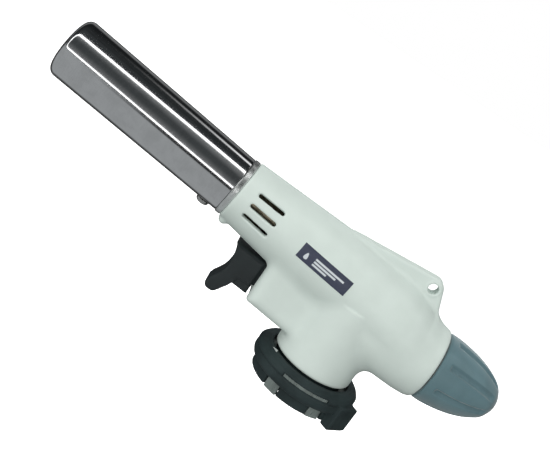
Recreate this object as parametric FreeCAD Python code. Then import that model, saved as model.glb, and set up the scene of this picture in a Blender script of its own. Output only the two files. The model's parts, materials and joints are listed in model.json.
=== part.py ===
import FreeCAD, Part
import math
import os

Vec = FreeCAD.Vector
X_AXIS = Vec(1, 0, 0)
Y_AXIS = Vec(0, 1, 0)
Z_AXIS = Vec(0, 0, 1)

# ---------------------------------------------------------------------------
# Driving dimensions, millimetres and degrees.
# The cartridge collar's axis is Z and the gas inlet's mouth is at z = 0.
# The muzzle points to -X and the flame knob to +X. The label is on the -Y side.
# The barrel frame has u along the barrel (towards the knob) and v across it.
# ---------------------------------------------------------------------------
BARREL_TILT = 6.93
BARREL_Z = 40.9
KNOB_Z = 33.3
WALL = 1.8

TUBE_MUZZLE_U = -121.7
TUBE_BASE_U = -53.84
TUBE_MUZZLE_R = 10.6
TUBE_BASE_R = 10.13
TUBE_WALL = 0.6
LIP_R = 2.6

RING_FRONT_U = -53.74
BODY_FRONT_U = -51.65
BODY_FRONT_R = 10.73
BODY_REAR_X = 31.6
BODY_REAR_R = 11.8
REAR_BARREL_R = 13.0
NECK_R = 14.24
NECK_BOTTOM_Z = 11.7
HOUSING_HALF = 9.0
HOUSING_FRONT_Z = 19.0
HOUSING_REAR_Z = 16.2
HOUSING_ROUND = 3.0

FIN_HALF = 2.5
HANG_HOLE_X = 17.5
HANG_HOLE_Z = 55.3
HANG_HOLE_R = 1.75
HANG_RIM_R = 2.7
HANG_RIM_PROUD = 0.3

SLOT_U0 = -46.4
SLOT_U1 = -36.3
SLOT_WIDTH = 1.5
SLOT_ANGLES = (28.3, 6.4, -15.4)

LABEL_U0 = -25.9
LABEL_U1 = -6.5
LABEL_V0 = -1.4
LABEL_V1 = 3.9
LABEL_THICK = 0.25

SCREW_PLACES = ((-12.0, 52.0), (14.0, 44.5), (19.5, 23.9), (-9.5, 17.8))
BOSS_R = 2.2
SCREW_R = 1.2
SCREW_HEAD_R = 1.9
SCREW_HEAD_Y = 5.0
SCREW_END_Y = -6.0
HEAD_HEIGHT = 1.5
HOLE_PLAY = 0.02

MIX_TUBE_R = 7.5
MIX_TUBE_BORE = 6.7
MIX_TUBE_U0 = -51.0
MIX_TUBE_U1 = -17.0
BURNER_U0 = -64.0
TUBE_SCREW_U = -58.6
BURNER_R = 9.4
CUP_R = 8.4
ELECTRODE_V = -4.0

TRIGGER_TRAVEL = 5.0
TRIGGER_HALF = 4.7
TRIGGER_TOP_V = -12.75
PIEZO_V = -16.8
PIEZO_U0 = -18.5
PIEZO_U1 = -4.5
PIEZO_HALF = 4.2
PLUNGER_R = 3.0
PLUNGER_U0 = -25.5
PLUNGER_U1 = -13.5
PIEZO_BORE_U1 = -6.0
SPRING_WIRE_R = 0.3
SPRING_R = 2.2
SPRING_TURNS = 5

STEM_R = 5.5
INLET_R = 2.1
INLET_DEPTH = 6.0
SPINDLE_R = 2.5
THREAD_R = 3.5
RUN_PLAY = 0.05

SEAT_R = 14.2
SEAT_Z = 1.3
SEAT_FACE_R = 13.2
GASKET_R = 9.0
POCKET_DEPTH = 0.3
SEAT_SHOULDER_Z = 8.1
SEAT_SPIGOT_R = 12.3
SEAT_TOP_Z = 14.8
RING_R = 19.2
RING_BOTTOM_Z = 4.7
RING_TOP_Z = 11.3
RING_SKIRT_R = 16.9
RING_SKIRT_Z = 0.7
PLATE_Z = 8.5
PLATE_THICK = 1.0
CLAW_ANGLES = (-121.0, -61.5, 88.75)
CLAW_HALF_ANGLE = 9.0
LUG_ANGLE = -42.5

KNOB_FRONT_X = 32.05
KNOB_TIP_X = 57.2
FLUTES = 8
FLUTE_R = 1.1

os.makedirs("parts", exist_ok=True)


# ---------------------------------------------------------------------------
# Helpers
# ---------------------------------------------------------------------------
def save(name, shape):
    """Write one named node and say what it holds."""
    shape.exportStep("parts/%s.step" % name)
    solids = shape.Solids
    volume = sum(s.Volume for s in solids)
    print("%-18s solids %2d  volume %9.1f  valid %s" % (name, len(solids), volume, shape.isValid()))


def to_barrel(shape):
    """Move a shape drawn with u along X and v along Z into the tilted barrel frame."""
    moved = shape.copy()
    moved.rotate(Vec(0, 0, 0), Y_AXIS, BARREL_TILT)
    moved.translate(Vec(0, 0, BARREL_Z))
    return moved


def to_knob(shape):
    """Lift a shape drawn about the X axis to the knob's axis."""
    moved = shape.copy()
    moved.translate(Vec(0, 0, KNOB_Z))
    return moved


def rod(x0, x1, radius, y=0.0, z=0.0):
    """A cylinder along X."""
    return Part.makeCylinder(radius, x1 - x0, Vec(x0, y, z), X_AXIS)


def post(z0, z1, radius, x=0.0, y=0.0):
    """A cylinder along Z."""
    return Part.makeCylinder(radius, z1 - z0, Vec(x, y, z0), Z_AXIS)


def cross_pin(y0, y1, radius, x, z):
    """A cylinder along Y."""
    return Part.makeCylinder(radius, y1 - y0, Vec(x, y0, z), Y_AXIS)


def block(x0, x1, y0, y1, z0, z1):
    """A box between two corners."""
    return Part.makeBox(x1 - x0, y1 - y0, z1 - z0, Vec(x0, y0, z0))


def line(a, b):
    return Part.LineSegment(a, b).toShape()


def arc(a, middle, b):
    return Part.Arc(a, middle, b).toShape()


def curve(points):
    """One smooth curve through the points."""
    spline = Part.BSplineCurve()
    spline.interpolate(points)
    return spline.toShape()


def turn_x(outline):
    """Revolve a closed list of (x, radius) points about the X axis."""
    points = [Vec(x, 0, r) for x, r in outline]
    face = Part.Face(Part.makePolygon(points + points[:1]))
    return face.revolve(Vec(0, 0, 0), X_AXIS, 360)


def turn_z(outline):
    """Revolve a closed list of (radius, z) points about the Z axis."""
    points = [Vec(r, 0, z) for r, z in outline]
    face = Part.Face(Part.makePolygon(points + points[:1]))
    return face.revolve(Vec(0, 0, 0), Z_AXIS, 360)


def plate_xz(edges, half):
    """A slab whose outline is drawn in the XZ plane, from y = -half to y = +half."""
    face = Part.Face(Part.Wire(edges))
    face.translate(Vec(0, -half, 0))
    return face.extrude(Vec(0, 2 * half, 0))


def polygon_edges(outline):
    points = [Vec(x, 0, z) for x, z in outline]
    return Part.makePolygon(points + points[:1]).Edges


def sector(r0, r1, z0, z1, middle, half):
    """A piece of a ring, about the Z axis, centred on an angle."""
    ring = post(z0, z1, r1).cut(post(z0 - 1, z1 + 1, r0))
    reach = 2 * r1
    a0 = math.radians(middle - half)
    a1 = math.radians(middle + half)
    corners = [
        Vec(0, 0, z0),
        Vec(reach * math.cos(a0), reach * math.sin(a0), z0),
        Vec(reach * math.cos(a1), reach * math.sin(a1), z0),
    ]
    wedge = Part.Face(Part.makePolygon(corners + corners[:1])).extrude(Vec(0, 0, z1 - z0))
    return ring.common(wedge)


def cut_each(shape, cutters):
    """Cut one tool at a time, which holds where a single cut with many tools fails."""
    for cutter in cutters:
        shape = shape.cut(cutter)
    return shape


# ---------------------------------------------------------------------------
# Case
# ---------------------------------------------------------------------------
def section(x, z, radius, tilt):
    """A circle across the body's centre line, for the loft."""
    a = math.radians(tilt)
    return Part.Wire(Part.makeCircle(radius, Vec(x, 0, z), Vec(math.cos(a), 0, -math.sin(a))))


def barrel_section(u, radius):
    a = math.radians(BARREL_TILT)
    return section(u * math.cos(a), BARREL_Z - u * math.sin(a), radius, BARREL_TILT)


def body_core(inset):
    """The round body from the tube's ring to the knob: a cone that bends down to the knob's axis."""
    stations = [
        barrel_section(BODY_FRONT_U, BODY_FRONT_R - inset),
        barrel_section(-40.0, 11.6 - inset),
        barrel_section(-26.0, 12.7 - inset),
        barrel_section(-12.0, 13.7 - inset),
        section(2.0, 40.3, 14.1 - inset, 8),
        section(10.0, 39.2, 14.2 - inset, 15),
        section(17.0, 36.9, 13.9 - inset, 20),
        section(23.0, 34.6, 13.4 - inset, 14),
        section(27.5, 33.2, 12.9 - inset, 5),
        section(BODY_REAR_X, KNOB_Z, BODY_REAR_R - inset, 0),
    ]
    return Part.makeLoft(stations, True, True)


def trigger_housing(inset):
    """The box under the barrel that holds the igniter; its floor runs parallel to the barrel."""
    front_top_x = -30.9 + inset
    front_low_x = -30.3 + inset
    outline = [
        (front_top_x, 40.0),
        (front_low_x, HOUSING_FRONT_Z + inset),
        (-8.0, HOUSING_REAR_Z + inset),
        (-8.0, 40.0),
    ]
    slab = plate_xz(polygon_edges(outline), HOUSING_HALF - inset)
    low_edges = []
    for edge in slab.Edges:
        middle = edge.CenterOfMass
        low = middle.z < HOUSING_FRONT_Z + 1.3 + inset and abs(middle.x + 8.0) > 1.0
        upright = abs(middle.x - front_low_x) < 1.5 and abs(middle.y) > 5.0
        if low or upright:
            low_edges.append(edge)
    return slab.makeFillet(HOUSING_ROUND - inset, low_edges)


def body_solid(inset):
    """Everything that the two shells enclose, or the hollow inside them when inset is the wall."""
    rear = to_knob(rod(-2.0, 27.0, REAR_BARREL_R - inset))
    neck = post(NECK_BOTTOM_Z - inset, 37.0, NECK_R - inset)
    return body_core(inset).fuse([rear, neck, trigger_housing(inset)])


def hang_fin():
    """The upright fin on top of the body, with the hanging hole's low rim."""
    edges = [
        line(Vec(-12.0, 0, 50.0), Vec(-12.0, 0, 56.3)),
        line(Vec(-12.0, 0, 56.3), Vec(-9.5, 0, 56.9)),
        line(Vec(-9.5, 0, 56.9), Vec(16.6, 0, 58.95)),
        arc(Vec(16.6, 0, 58.95), Vec(19.2, 0, 58.4), Vec(20.7, 0, 56.8)),
        line(Vec(20.7, 0, 56.8), Vec(24.3, 0, 48.2)),
        line(Vec(24.3, 0, 48.2), Vec(24.3, 0, 43.0)),
        line(Vec(24.3, 0, 43.0), Vec(-12.0, 0, 50.0)),
    ]
    reach = FIN_HALF + HANG_RIM_PROUD
    rim = cross_pin(-reach, reach, HANG_RIM_R, HANG_HOLE_X, HANG_HOLE_Z)
    return plate_xz(edges, FIN_HALF).fuse(rim)


def front_lip():
    """The small lip under the body's front edge."""
    lip = turn_x([(BODY_FRONT_U, 9.5), (BODY_FRONT_U, 11.9), (-49.2, 12.1), (-46.8, 11.3), (-46.8, 9.5)])
    return to_barrel(lip.common(block(-60, -40, -4.5, 4.5, -14, -5)))


def vent_slots():
    """Cutters for the air slots, the same on both sides."""
    cutters = []
    for side in (-1, 1):
        for angle in SLOT_ANGLES:
            half = SLOT_WIDTH / 2
            slot = block(SLOT_U0 + half, SLOT_U1 - half, 8.0, 15.0, -half, half)
            ends = [cross_pin(8.0, 15.0, half, u, 0) for u in (SLOT_U0 + half, SLOT_U1 - half)]
            slot = slot.fuse(ends)
            turned = angle if side > 0 else 180 - angle
            slot.rotate(Vec(0, 0, 0), X_AXIS, turned)
            cutters.append(to_barrel(slot))
    return cutters


def screw_holes():
    """Clear holes and head recesses in the +Y shell, and pilot holes in the -Y shell."""
    cutters = []
    for x, z in SCREW_PLACES:
        cutters.append(cross_pin(SCREW_END_Y - 0.5, 20.0, SCREW_R + HOLE_PLAY, x, z))
        cutters.append(cross_pin(SCREW_HEAD_Y, 20.0, SCREW_HEAD_R + 0.1, x, z))
    return cutters


def shells():
    """The two halves of the case: 1.8 mm walls, screw posts, slots and every opening."""
    outer = body_solid(0.0).fuse([hang_fin(), front_lip()])
    posts = [cross_pin(-20.0, 20.0, BOSS_R, x, z) for x, z in SCREW_PLACES]
    neck_rib = post(15.0, 16.6, NECK_R)
    rear_stop = block(BODY_REAR_X - 2.2, BODY_REAR_X + 1, -20, 20, 10, 50)
    hollow = cut_each(body_solid(WALL), posts + [neck_rib, rear_stop])
    front_way = to_barrel(rod(BODY_FRONT_U - 1, -48.0, BODY_FRONT_R - WALL))
    rear_way = to_knob(rod(28.0, BODY_REAR_X + 1, 6.6))
    neck_way = post(NECK_BOTTOM_Z - 1, 15.0, NECK_R - WALL)
    stem_way = post(14.0, 18.0, STEM_R + 0.1)
    window = plate_xz(
        polygon_edges([(-34.0, 19.75), (-25.8, 19.0), (-25.8, 32.3), (-34.0, 32.3)]),
        TRIGGER_HALF + 0.4,
    )
    hang_way = cross_pin(-6.0, 6.0, HANG_HOLE_R, HANG_HOLE_X, HANG_HOLE_Z)
    cutters = [hollow, front_way, rear_way, neck_way, stem_way, window, hang_way]
    case = cut_each(outer, cutters + vent_slots() + screw_holes())
    left = case.cut(block(-60, 60, 0, 30, 0, 80))
    right = case.cut(block(-60, 60, -30, 0, 0, 80))
    return left, right


def case_screws():
    """Pan-head screws, put in from the +Y side."""
    screws = []
    for x, z in SCREW_PLACES:
        head = cross_pin(SCREW_HEAD_Y, SCREW_HEAD_Y + HEAD_HEIGHT, SCREW_HEAD_R, x, z)
        slot = block(x - 3, x + 3, SCREW_HEAD_Y + HEAD_HEIGHT - 0.6, 20, z - 0.3, z + 0.3)
        cross = block(x - 0.3, x + 0.3, SCREW_HEAD_Y + HEAD_HEIGHT - 0.6, 20, z - 3, z + 3)
        shank = cross_pin(SCREW_END_Y, SCREW_HEAD_Y, SCREW_R, x, z)
        screws.append(head.fuse(shank).cut([slot, cross]))
    return Part.makeCompound(screws)


def label_plate():
    """A thin printed plate that follows the curve of the -Y side."""
    skin = body_core(-LABEL_THICK).cut(body_core(0.0))
    patch = to_barrel(block(LABEL_U0, LABEL_U1, -20, -8, LABEL_V0, LABEL_V1))
    return skin.common(patch)


# ---------------------------------------------------------------------------
# Burner
# ---------------------------------------------------------------------------
def flame_tube():
    """A thin steel tube with its muzzle rolled in."""
    bend_u = TUBE_MUZZLE_U + LIP_R
    axis_r = TUBE_MUZZLE_R - LIP_R
    inner = LIP_R - TUBE_WALL
    diagonal = math.sqrt(0.5)
    outer_arc = arc(
        Vec(bend_u, 0, TUBE_MUZZLE_R),
        Vec(bend_u - LIP_R * diagonal, 0, axis_r + LIP_R * diagonal),
        Vec(TUBE_MUZZLE_U, 0, axis_r),
    )
    inner_arc = arc(
        Vec(TUBE_MUZZLE_U + TUBE_WALL, 0, axis_r),
        Vec(bend_u - inner * diagonal, 0, axis_r + inner * diagonal),
        Vec(bend_u, 0, TUBE_MUZZLE_R - TUBE_WALL),
    )
    edges = [
        line(Vec(TUBE_BASE_U, 0, TUBE_BASE_R), Vec(bend_u, 0, TUBE_MUZZLE_R)),
        outer_arc,
        line(Vec(TUBE_MUZZLE_U, 0, axis_r), Vec(TUBE_MUZZLE_U + TUBE_WALL, 0, axis_r)),
        inner_arc,
        line(Vec(bend_u, 0, TUBE_MUZZLE_R - TUBE_WALL), Vec(TUBE_BASE_U, 0, TUBE_BASE_R - TUBE_WALL)),
        line(Vec(TUBE_BASE_U, 0, TUBE_BASE_R - TUBE_WALL), Vec(TUBE_BASE_U, 0, TUBE_BASE_R)),
    ]
    tube = Part.Face(Part.Wire(edges)).revolve(Vec(0, 0, 0), X_AXIS, 360)
    return to_barrel(tube.cut(post(-15, -5, 1.0, x=TUBE_SCREW_U)))


def tube_base_ring():
    """The plain ring between the tube and the case."""
    outline = [(RING_FRONT_U, 6.7), (RING_FRONT_U, 10.2), (-53.4, 10.45), (-52.0, 10.45)]
    outline += [(BODY_FRONT_U, 10.2), (BODY_FRONT_U, 6.7)]
    return to_barrel(turn_x(outline))


def tube_screw():
    """The small screw under the tube that holds it to the burner head."""
    head = post(-11.7, -10.25, 2.3, x=TUBE_SCREW_U)
    head = head.makeFillet(1.0, [e for e in head.Edges if e.CenterOfMass.z < -11.6 and e.Length > 8])
    shank = post(-10.25, -8.0, 0.9, x=TUBE_SCREW_U)
    slot = block(TUBE_SCREW_U - 3, TUBE_SCREW_U + 3, -0.3, 0.3, -12.0, -11.1)
    return to_barrel(head.fuse(shank).cut(slot))


def burner_head():
    """The cast cup at the tube's base; its spigot fits inside the mixing tube."""
    outline = [(-47.0, 5.6), (-47.0, 6.6), (RING_FRONT_U - 0.1, 6.6), (RING_FRONT_U - 0.1, BURNER_R)]
    outline += [(BURNER_U0, BURNER_R), (BURNER_U0, CUP_R), (-56.0, CUP_R), (-56.0, 5.6)]
    return to_barrel(turn_x(outline).cut(post(-15, -5, 0.92, x=TUBE_SCREW_U)))


def flame_holder():
    """The perforated disc that the flame sits on."""
    disc = rod(-62.5, -61.0, CUP_R - 0.05)
    holes = [rod(-64, -60, 1.5), rod(-64, -60, 1.5, z=ELECTRODE_V)]
    for k in range(9):
        a = math.radians(90 + 40 * (k - 4))
        holes.append(rod(-64, -60, 0.9, y=6.3 * math.cos(a), z=6.3 * math.sin(a)))
    return to_barrel(disc.cut(holes))


def mixing_tube():
    """The tube that carries gas and air to the burner, with ports behind the air slots."""
    tube = rod(MIX_TUBE_U0, MIX_TUBE_U1, MIX_TUBE_R).cut(rod(-52, -16, MIX_TUBE_BORE))
    ports = [post(0, 9, 2.2, x=-25.0), cross_pin(-9, 9, 2.2, -25.0, 0), post(-9, 0, 2.2, x=-29.2)]
    return to_barrel(tube.cut(ports))


def jet_carrier():
    """The brass disc that centres the jet in the mixing tube's rear end."""
    return to_barrel(rod(-21.0, MIX_TUBE_U1, MIX_TUBE_BORE - 0.02).cut(rod(-22, -16, 2.52)))


def gas_jet():
    """The gas jet: a threaded stem, a hexagon and a drilled nose."""
    corners = [Vec(-24.0, 3.2 * math.cos(math.radians(60 * k)), 3.2 * math.sin(math.radians(60 * k)))
               for k in range(6)]
    hexagon = Part.Face(Part.makePolygon(corners + corners[:1])).extrude(Vec(2.9, 0, 0))
    nose = rod(-26.0, -24.0, 1.6)
    stem = rod(-21.1, -15.1, 2.5)
    return to_barrel(hexagon.fuse([nose, stem]).cut(rod(-27, -15, 0.35)))


def electrode():
    """The spark wire, from the ceramic's back end to just past its front."""
    return to_barrel(rod(-68.0, -44.0, 0.5, z=ELECTRODE_V))


def electrode_ceramic():
    return to_barrel(rod(-66.0, -44.5, 1.4, z=ELECTRODE_V).cut(rod(-67, -44, 0.52, z=ELECTRODE_V)))


# ---------------------------------------------------------------------------
# Valve and cartridge seat
# ---------------------------------------------------------------------------
def valve_body():
    """The brass block: stem up from the cartridge, spindle housing to the rear, jet outlet to the front."""
    stem = post(0.0, 31.0, STEM_R)
    middle = block(-8.0, 8.0, -6.5, 6.5, 30.5, 45.0)
    knee = block(-4.5, 8.0, -6.0, 6.0, 26.0, 31.0)
    spindle_house = to_knob(rod(7.0, 24.0, 6.0))
    outlet = to_barrel(rod(-15.0, -5.0, 4.5))
    ways = [
        post(-1.0, INLET_DEPTH, INLET_R),
        post(INLET_DEPTH - 0.1, 7.6, 1.8),
        post(7.5, KNOB_Z, 1.2),
        to_knob(rod(-1.0, 3.0, 1.0)),
        to_knob(rod(2.5, 5.5, 2.6)),
        to_knob(rod(5.0, 25.0, THREAD_R + RUN_PLAY)),
        post(KNOB_Z, 41.0, 1.0, x=4.2),
        to_barrel(rod(-16.0, 5.0, 1.0)),
    ]
    return stem.fuse([middle, knee, spindle_house, outlet]).cut(ways)


def inlet_filter():
    return post(INLET_DEPTH, 7.5, 1.78)


def can_gasket():
    """The rubber washer round the inlet, set into the seat's pocket."""
    return post(0.4, SEAT_Z + POCKET_DEPTH, GASKET_R).cut(post(0, 2, STEM_R + 0.05))


def cartridge_seat():
    """The fixed black boss that the cartridge's rim bears on."""
    outline = [(STEM_R + 0.05, SEAT_Z + POCKET_DEPTH), (GASKET_R + 0.05, SEAT_Z + POCKET_DEPTH)]
    outline += [(GASKET_R + 0.05, SEAT_Z), (SEAT_FACE_R, SEAT_Z), (SEAT_FACE_R, SEAT_Z + 0.5)]
    outline += [(SEAT_R - 0.6, SEAT_Z + 0.5), (SEAT_R, SEAT_Z + 1.1)]
    outline += [(SEAT_R, SEAT_SHOULDER_Z), (SEAT_SPIGOT_R, SEAT_SHOULDER_Z)]
    outline += [(SEAT_SPIGOT_R, SEAT_TOP_Z), (STEM_R + 0.05, SEAT_TOP_Z)]
    return turn_z(outline)


def gland_nut():
    """The hexagon nut that closes the spindle housing."""
    reach = 11.0 / math.sqrt(3)
    corners = [Vec(24.0, reach * math.cos(math.radians(60 * k)), reach * math.sin(math.radians(60 * k)))
               for k in range(6)]
    hexagon = Part.Face(Part.makePolygon(corners + corners[:1])).extrude(Vec(6.0, 0, 0))
    nut = hexagon.fuse(rod(30.0, 34.0, 4.5))
    return to_knob(nut.cut(rod(23.0, 35.0, SPINDLE_R + RUN_PLAY)))


def valve_spindle():
    """The screwed spindle with its needle point."""
    outline = [(-1.0, 0), (3.5, 1.1), (3.5, SPINDLE_R), (9.0, SPINDLE_R), (9.0, THREAD_R)]
    outline += [(17.0, THREAD_R), (17.0, SPINDLE_R), (46.0, SPINDLE_R), (46.0, 0)]
    return to_knob(turn_x(outline))


def spindle_oring():
    ring = Part.makeTorus(3.01, 0.45, Vec(20.5, 0, 0), X_AXIS)
    return to_knob(ring)


def knob():
    """The bullet-shaped flame knob: hollow, with a hub on the spindle and rounded flutes outside."""
    outer = [
        Vec(KNOB_FRONT_X, 0, 12.2), Vec(39.3, 0, 11.8), Vec(47.3, 0, 10.0),
        Vec(53.2, 0, 7.1), Vec(56.3, 0, 3.7), Vec(KNOB_TIP_X, 0, 0),
    ]
    edges = [
        curve(outer),
        line(Vec(KNOB_TIP_X, 0, 0), Vec(KNOB_FRONT_X, 0, 0)),
        line(Vec(KNOB_FRONT_X, 0, 0), Vec(KNOB_FRONT_X, 0, 12.2)),
    ]
    shape = Part.Face(Part.Wire(edges)).revolve(Vec(0, 0, 0), X_AXIS, 360)
    hollow = [(31.0, 0), (31.0, 10.4), (42.0, 9.8), (48.0, 7.8), (50.5, 5.6), (50.5, 4.6), (36.0, 4.6)]
    hollow.append((36.0, 0))
    cutters = [turn_x(hollow), rod(35.0, 47.0, SPINDLE_R + RUN_PLAY)]
    a = Vec(36.2, 0, 12.75)
    b = Vec(52.6, 0, 8.3)
    groove = Part.makeCylinder(FLUTE_R, (b - a).Length, a, b - a)
    groove = groove.fuse([Part.makeSphere(FLUTE_R, a), Part.makeSphere(FLUTE_R, b)])
    for k in range(FLUTES):
        flute = groove.copy()
        flute.rotate(Vec(0, 0, 0), X_AXIS, 17.0 + 360.0 / FLUTES * k)
        cutters.append(flute)
    return to_knob(shape.cut(cutters))


# ---------------------------------------------------------------------------
# Lock ring
# ---------------------------------------------------------------------------
def lug():
    """The finger grip that hangs from the lock ring, with its lower corners cut back."""
    upper = block(15.6, 20.5, -0.6, 8.5, 0.0, 8.6)
    lower = block(16.4, 19.7, 0.3, 7.6, -0.9, 0.1)
    grip = upper.fuse(lower)
    grip.rotate(Vec(0, 0, 0), Z_AXIS, LUG_ANGLE)
    return grip


def lock_ring():
    """The black ring that turns under the neck and carries the claw plate."""
    outline = [(14.7, RING_TOP_Z), (16.4, RING_TOP_Z), (18.2, 10.5), (RING_R, 8.8)]
    outline += [(RING_R, RING_BOTTOM_Z + 0.5), (RING_R - 0.5, RING_BOTTOM_Z), (17.2, RING_BOTTOM_Z)]
    outline += [(17.2, PLATE_Z + PLATE_THICK), (14.7, PLATE_Z + PLATE_THICK)]
    ring = turn_z(outline)
    keep_out = post(-1.0, RING_TOP_Z - 1.8, 16.4)
    window = sector(17.0, 20.0, 8.4, 9.7, -87.5, 28.0)
    pieces = [lug().cut(keep_out)]
    for before, after in zip(CLAW_ANGLES, CLAW_ANGLES[1:] + (CLAW_ANGLES[0] + 360.0,)):
        half = (after - before) / 2 - CLAW_HALF_ANGLE - 1.5
        pieces.append(sector(SEAT_R + 0.1, RING_SKIRT_R, RING_SKIRT_Z, 5.5, (before + after) / 2, half))
        pieces.append(sector(RING_SKIRT_R - 0.5, 17.4, RING_BOTTOM_Z, 5.5, (before + after) / 2, half))
    return ring.fuse(pieces).cut(window).removeSplitter()


def claw_plate():
    """The stamped steel plate: a flat ring, three claws bent down, and a tab that shows in the ring's slot."""
    plate = post(PLATE_Z, PLATE_Z + PLATE_THICK, 16.9).cut(post(PLATE_Z - 1, PLATE_Z + 3, SEAT_SPIGOT_R + 0.4))
    tab = sector(16.5, 18.5, PLATE_Z, PLATE_Z + PLATE_THICK, -87.5, 26.5)
    pieces = [tab]
    for angle in CLAW_ANGLES:
        pieces.append(sector(15.3, 16.3, 0.4, PLATE_Z + 0.1, angle, CLAW_HALF_ANGLE))
        pieces.append(sector(13.4, 16.3, 0.4, 1.0, angle, CLAW_HALF_ANGLE))
    return plate.fuse(pieces).removeSplitter()


def lock_mark():
    """The small painted triangle on the ring's top."""
    corners = [Vec(14.9, 0, RING_TOP_Z), Vec(16.3, -1.3, RING_TOP_Z), Vec(16.3, 1.3, RING_TOP_Z)]
    mark = Part.Face(Part.makePolygon(corners + corners[:1])).extrude(Vec(0, 0, 0.12))
    mark.rotate(Vec(0, 0, 0), Z_AXIS, -146.0)
    return mark


# ---------------------------------------------------------------------------
# Trigger and igniter
# ---------------------------------------------------------------------------
def barrel_point(u, v):
    a = math.radians(BARREL_TILT)
    return Vec(u * math.cos(a) + v * math.sin(a), 0, BARREL_Z - u * math.sin(a) + v * math.cos(a))


def trigger():
    """The finger trigger, its guide block and the tail that pushes the igniter."""
    top_front = barrel_point(-41.9, TRIGGER_TOP_V)
    top_rear = barrel_point(-29.9, TRIGGER_TOP_V)
    front = curve([
        top_front, Vec(-41.9, 0, 30.9), Vec(-41.2, 0, 27.4), Vec(-41.6, 0, 22.8),
        Vec(-42.8, 0, 20.4), Vec(-44.1, 0, 18.2), Vec(-44.5, 0, 16.2),
    ])
    toe = arc(Vec(-44.5, 0, 16.2), Vec(-42.8, 0, 14.2), Vec(-40.4, 0, 14.4))
    under = curve([Vec(-40.4, 0, 14.4), Vec(-39.2, 0, 16.2), Vec(-37.8, 0, 18.3), Vec(-36.9, 0, 20.4)])
    block_low = Vec(-31.2, 0, 19.9)
    edges = [
        front, toe, under,
        line(Vec(-36.9, 0, 20.4), block_low),
        line(block_low, top_rear),
        line(top_rear, top_front),
    ]
    solid = plate_xz(edges, TRIGGER_HALF)
    tail = to_barrel(block(-34.0, PLUNGER_U0, -4.2, 4.2, PIEZO_V - 4.0, PIEZO_V + 4.0))
    return solid.fuse(tail)


def piezo_plunger():
    return to_barrel(rod(PLUNGER_U0, PLUNGER_U1, PLUNGER_R, z=PIEZO_V))


def piezo_body():
    """The igniter's plastic case, with the bore that the plunger runs in."""
    case = block(PIEZO_U0, PIEZO_U1, -PIEZO_HALF, PIEZO_HALF, PIEZO_V - PIEZO_HALF, PIEZO_V + PIEZO_HALF)
    bore = rod(PIEZO_U0 - 1, PIEZO_BORE_U1, PLUNGER_R + RUN_PLAY, z=PIEZO_V)
    return to_barrel(case.cut(bore))


def piezo_spring():
    """The return spring behind the plunger."""
    length = PIEZO_BORE_U1 - PLUNGER_U1 - 4 * SPRING_WIRE_R
    helix = Part.makeLongHelix(length / SPRING_TURNS, length, SPRING_R)
    wire = Part.Wire(Part.makeCircle(SPRING_WIRE_R, Vec(SPRING_R, 0, 0), Y_AXIS))
    coil = Part.Wire(helix.Edges).makePipeShell([wire], True, True)
    coil.rotate(Vec(0, 0, 0), Y_AXIS, 90)
    coil.translate(Vec(PLUNGER_U1 + 2 * SPRING_WIRE_R, 0, PIEZO_V))
    return to_barrel(coil)


def ignition_lead():
    """The insulated lead from the igniter's top to the spark wire, as straight runs joined by arcs."""
    lead_r = 0.9
    low_v = -9.9
    rise_u = -31.0
    points = [(-12.0, PIEZO_V + PIEZO_HALF), (-12.0, low_v), (-27.0, low_v)]
    points += [(rise_u, ELECTRODE_V), (-44.0, ELECTRODE_V)]
    route = [Vec(u, 0, v) for u, v in points]
    edges = []
    start = route[0]
    for before, corner, after in zip(route, route[1:], route[2:]):
        into = (corner - before).normalize()
        out = (after - corner).normalize()
        turn = into.getAngle(out)
        run = min((corner - before).Length, (after - corner).Length)
        reach = 0.45 * run
        radius = reach / math.tan(turn / 2)
        a = corner - into * reach
        b = corner + out * reach
        bisector = (out - into).normalize()
        centre = corner + bisector * math.hypot(radius, reach)
        middle = centre - bisector * radius
        edges.append(line(start, a))
        edges.append(arc(a, middle, b))
        start = b
        print("lead bend radius %.1f" % radius)
    edges.append(line(start, route[-1]))
    path = Part.Wire(edges)
    ring = Part.Wire(Part.makeCircle(lead_r, route[0], Z_AXIS))
    lead = path.makePipeShell([ring], True, True)
    print("lead volume %.1f, section by length %.1f" % (lead.Volume, math.pi * lead_r ** 2 * path.Length))
    return to_barrel(lead)


# ---------------------------------------------------------------------------
# Write every node
# ---------------------------------------------------------------------------
left_shell, right_shell = shells()
save("left_shell", left_shell)
save("right_shell", right_shell)
MAKERS = (
    case_screws, label_plate, flame_tube, tube_base_ring, tube_screw, burner_head, flame_holder,
    mixing_tube, jet_carrier, gas_jet, electrode, electrode_ceramic, valve_body, inlet_filter,
    can_gasket, cartridge_seat, gland_nut, valve_spindle, spindle_oring, knob, lock_ring,
    claw_plate, lock_mark, trigger, piezo_plunger, piezo_body, piezo_spring, ignition_lead,
)
for maker in MAKERS:
    save(maker.__name__, maker())
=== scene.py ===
# %% [markdown]
# A butane torch head. The working model holds every piece, its size and the joints.
# This lesson gives it its looks: the blended white case, the polished flame tube, the fluted
# knob, the black collar and trigger, and a finish for every other piece.

import json
import math

import bpy
import numpy as np
from mathutils import Matrix, Vector


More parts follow.
